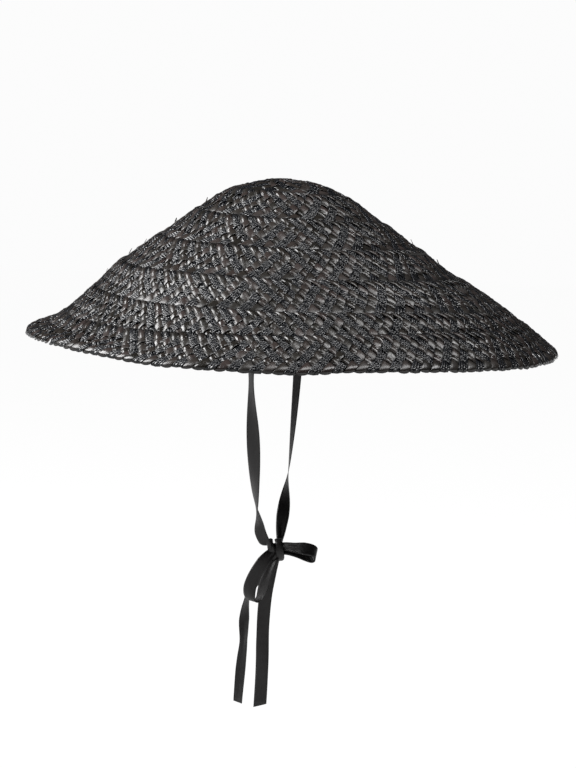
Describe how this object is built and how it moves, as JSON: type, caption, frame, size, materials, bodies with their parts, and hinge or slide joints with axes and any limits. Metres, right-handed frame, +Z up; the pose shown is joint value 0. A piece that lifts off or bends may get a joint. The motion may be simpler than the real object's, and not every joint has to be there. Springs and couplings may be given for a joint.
{
  "type": "conical sun hat",
  "caption": "Conical straw-braid sun hat with a domed tip, an inner head band, and ribbon chin ties hanging in a bow.",
  "frame": {"origin": "centre of the oval head opening, in the plane of the sweatband's lower edge", "axes": "+Z up to the hat's tip, +Y to the back of the head, X from ear to ear"},
  "size_m": [0.3995, 0.3996, 0.4102],
  "materials": {
    "straw_braid": "satin",
    "thread": "satin",
    "bandeau_cloth": "matte",
    "grosgrain": "satin",
    "tie_ribbon": "satin"
  },
  "bodies": {
    "hat": {"braid_row_1": "straw_braid", "braid_row_2": "straw_braid", "braid_row_3": "straw_braid", "braid_row_4": "straw_braid", "braid_row_5": "straw_braid", "braid_row_6": "straw_braid", "braid_row_7": "straw_braid", "braid_end_tuck": "straw_braid", "lap_stitching": "thread", "bandeau": "bandeau_cloth", "bandeau_tacks": "thread", "sweatband": "grosgrain", "sweatband_stitching": "thread", "tie_end_left": "tie_ribbon", "tie_end_right": "tie_ribbon", "tie_tack_left": "thread", "tie_tack_right": "thread"},
    "chin_tie": {"tie_ribbon_left": "tie_ribbon", "bow_loop_left": "tie_ribbon", "tie_tail_left": "tie_ribbon", "tie_ribbon_right": "tie_ribbon", "bow_loop_right": "tie_ribbon", "tie_tail_right": "tie_ribbon", "bow_knot": "tie_ribbon"}
  },
  "joints": [
    {"name": "tie_swing", "type": "hinge", "parent": "hat", "child": "chin_tie", "pos_m": [0, -0.012, -0.005], "axis": [1, 0, 0], "range_deg": [-70, 70]}
  ]
}
